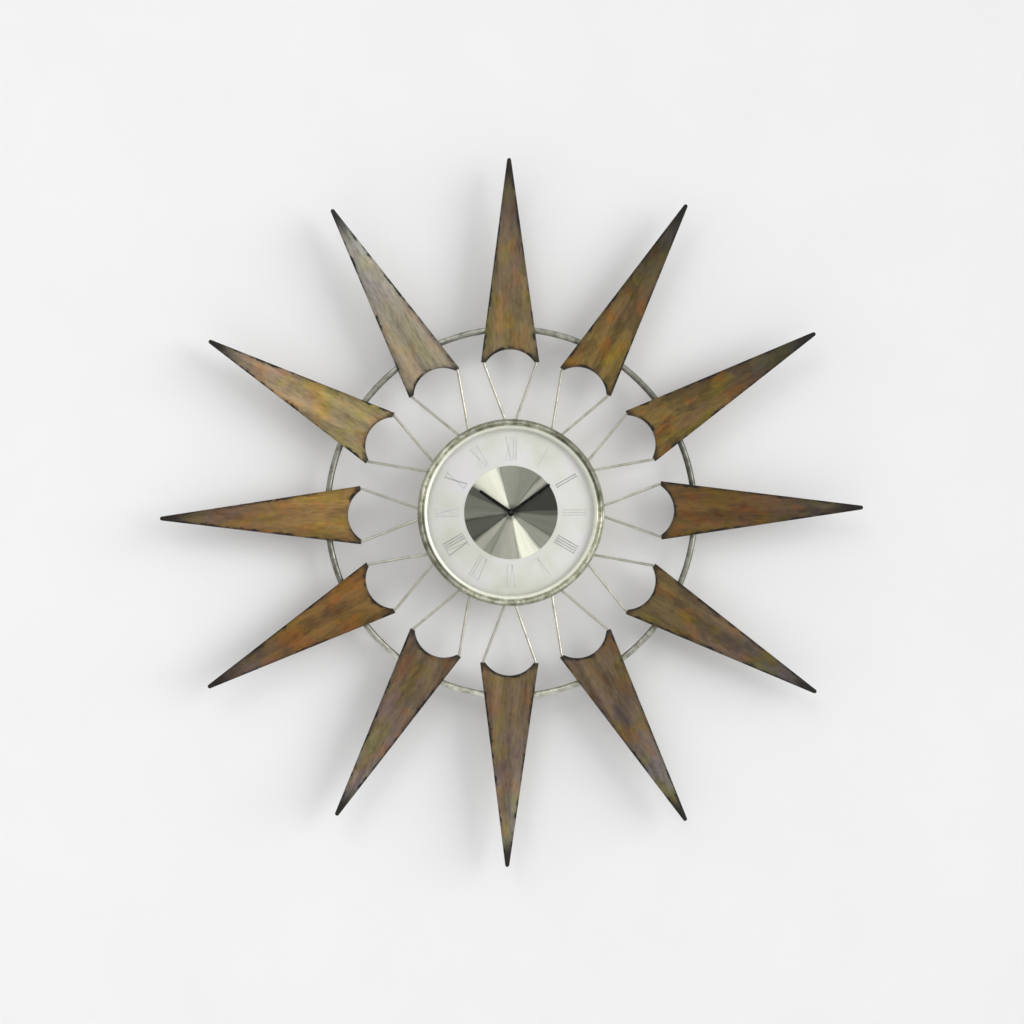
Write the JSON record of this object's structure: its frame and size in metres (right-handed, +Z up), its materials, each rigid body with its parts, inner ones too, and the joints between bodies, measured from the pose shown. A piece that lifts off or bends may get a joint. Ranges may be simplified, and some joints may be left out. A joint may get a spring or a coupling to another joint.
{
  "type": "wall clock",
  "caption": "Round wall clock with a domed glass dial in a metal case, circled by tapered wood rays held on a rod ring and paired spoke wires.",
  "frame": {"origin": "point on the wall plane directly behind the axis of the hands", "axes": "+Y into the wall, the dial faces -Y; +Z up through twelve o'clock; +X to the right seen from the front"},
  "size_m": [0.605, 0.0588, 0.61],
  "materials": {
    "ray_wood": "satin oiled walnut",
    "spoke_brass": "lacquered, slightly aged",
    "screw_steel": "bright zinc",
    "case_brass": "lacquered, fine turned marks",
    "plain_steel": "plain rolled",
    "bezel_gold": "antique gold, satin",
    "clear_glass": "clear polished",
    "dial_silver": "silvered satin",
    "spun_metal": "circular spun",
    "hand_black": "satin black",
    "nut_metal": "polished",
    "knob_brass": "polished",
    "movement_brass": "satin rolled",
    "arbor_steel": "turned",
    "blued_spring": "blued",
    "wheel_brass": "fine cut"
  },
  "bodies": {
    "clock_frame": {"ray_01": "ray_wood", "ray_02": "ray_wood", "ray_03": "ray_wood", "ray_04": "ray_wood", "ray_05": "ray_wood", "ray_06": "ray_wood", "ray_07": "ray_wood", "ray_08": "ray_wood", "ray_09": "ray_wood", "ray_10": "ray_wood", "ray_11": "ray_wood", "ray_12": "ray_wood", "outer_ring": "spoke_brass", "spoke_wires": "spoke_brass", "ray_saddles": "spoke_brass", "ray_screws": "screw_steel", "case_drum": "case_brass", "dial_pan": "plain_steel", "bezel": "bezel_gold", "lens": "clear_glass", "dial": "dial_silver", "dial_disc": "spun_metal", "back_cover": "case_brass", "cover_screws": "screw_steel", "hanger_plate": "plain_steel", "hanger_rivets": "screw_steel", "front_plate": "movement_brass", "back_plate": "movement_brass", "pillars": "movement_brass", "pan_spacers": "movement_brass", "movement_screws": "screw_steel", "click_stud": "arbor_steel", "click_spring": "blued_spring", "hairspring": "blued_spring", "hairspring_stud": "arbor_steel", "motion_stud": "arbor_steel"},
    "minute_arbor": {"centre_wheel": "wheel_brass", "cannon_pinion": "wheel_brass", "minute_hand": "hand_black", "hand_nut": "nut_metal", "set_knob": "knob_brass"},
    "hour_pipe": {"hour_wheel": "wheel_brass", "hour_hand": "hand_black"},
    "minute_wheel_body": {"minute_wheel": "wheel_brass"},
    "barrel_body": {"barrel": "movement_brass", "barrel_cap": "movement_brass", "mainspring": "blued_spring"},
    "winding_arbor": {"barrel_arbor": "arbor_steel", "ratchet_wheel": "arbor_steel", "winding_key": "knob_brass"},
    "click_body": {"click": "arbor_steel"},
    "intermediate_body": {"intermediate_wheel": "wheel_brass"},
    "third_body": {"third_wheel": "wheel_brass"},
    "fourth_body": {"fourth_wheel": "wheel_brass"},
    "escape_body": {"escape_wheel": "wheel_brass"},
    "lever_body": {"pallet_lever": "arbor_steel"},
    "balance_body": {"balance_wheel": "wheel_brass"}
  },
  "joints": [
    {"name": "minute_turn", "type": "hinge", "parent": "clock_frame", "child": "minute_arbor", "pos_m": [0, -0.03, 0], "axis": [0, 1, 0], "continuous": true},
    {"name": "hour_turn", "type": "hinge", "parent": "clock_frame", "child": "hour_pipe", "pos_m": [0, -0.03, 0], "axis": [0, 1, 0], "continuous": true},
    {"name": "minute_wheel_turn", "type": "hinge", "parent": "clock_frame", "child": "minute_wheel_body", "pos_m": [-0.01039, -0.03, 0.006], "axis": [0, 1, 0], "continuous": true},
    {"name": "barrel_turn", "type": "hinge", "parent": "clock_frame", "child": "barrel_body", "pos_m": [0, -0.03, -0.0245], "axis": [0, 1, 0], "continuous": true},
    {"name": "winding_turn", "type": "hinge", "parent": "clock_frame", "child": "winding_arbor", "pos_m": [0, -0.03, -0.0245], "axis": [0, 1, 0], "range_deg": [0, 1440], "deforming": ["mainspring"]},
    {"name": "click_lift", "type": "hinge", "parent": "clock_frame", "child": "click_body", "pos_m": [0.00868, -0.03, -0.01416], "axis": [0, -1, 0], "range_deg": [0, 8], "stiffness_Nm_per_rad": 0.01},
    {"name": "intermediate_turn", "type": "hinge", "parent": "clock_frame", "child": "intermediate_body", "pos_m": [0.01577, -0.03, -0.00485], "axis": [0, 1, 0], "continuous": true},
    {"name": "third_turn", "type": "hinge", "parent": "clock_frame", "child": "third_body", "pos_m": [-0.01041, -0.03, 0.01241], "axis": [0, 1, 0], "continuous": true},
    {"name": "fourth_turn", "type": "hinge", "parent": "clock_frame", "child": "fourth_body", "pos_m": [0.00237, -0.03, 0.01706], "axis": [0, 1, 0], "continuous": true},
    {"name": "escape_turn", "type": "hinge", "parent": "clock_frame", "child": "escape_body", "pos_m": [0.0145, -0.03, 0.0192], "axis": [0, 1, 0], "continuous": true},
    {"name": "balance_swing", "type": "hinge", "parent": "clock_frame", "child": "balance_body", "pos_m": [0.029, -0.03, 0.0025], "axis": [0, 1, 0], "range_deg": [-120, 120], "deforming": ["hairspring"]},
    {"name": "lever_rock", "type": "hinge", "parent": "clock_frame", "child": "lever_body", "pos_m": [0.02178, -0.03, 0.01309], "axis": [0, 1, 0], "range_deg": [-4, 4]}
  ],
  "couplings": [
    {"joint": "hour_turn", "follows": "minute_turn", "ratio": 0.083333},
    {"joint": "minute_wheel_turn", "follows": "minute_turn", "ratio": -0.33333},
    {"joint": "intermediate_turn", "follows": "minute_turn", "ratio": -0.22222},
    {"joint": "barrel_turn", "follows": "minute_turn", "ratio": 0.037037},
    {"joint": "third_turn", "follows": "minute_turn", "ratio": -8},
    {"joint": "fourth_turn", "follows": "minute_turn", "ratio": 60},
    {"joint": "escape_turn", "follows": "minute_turn", "ratio": -600},
    {"joint": "lever_rock", "follows": "balance_swing", "ratio": 0.033333}
  ]
}
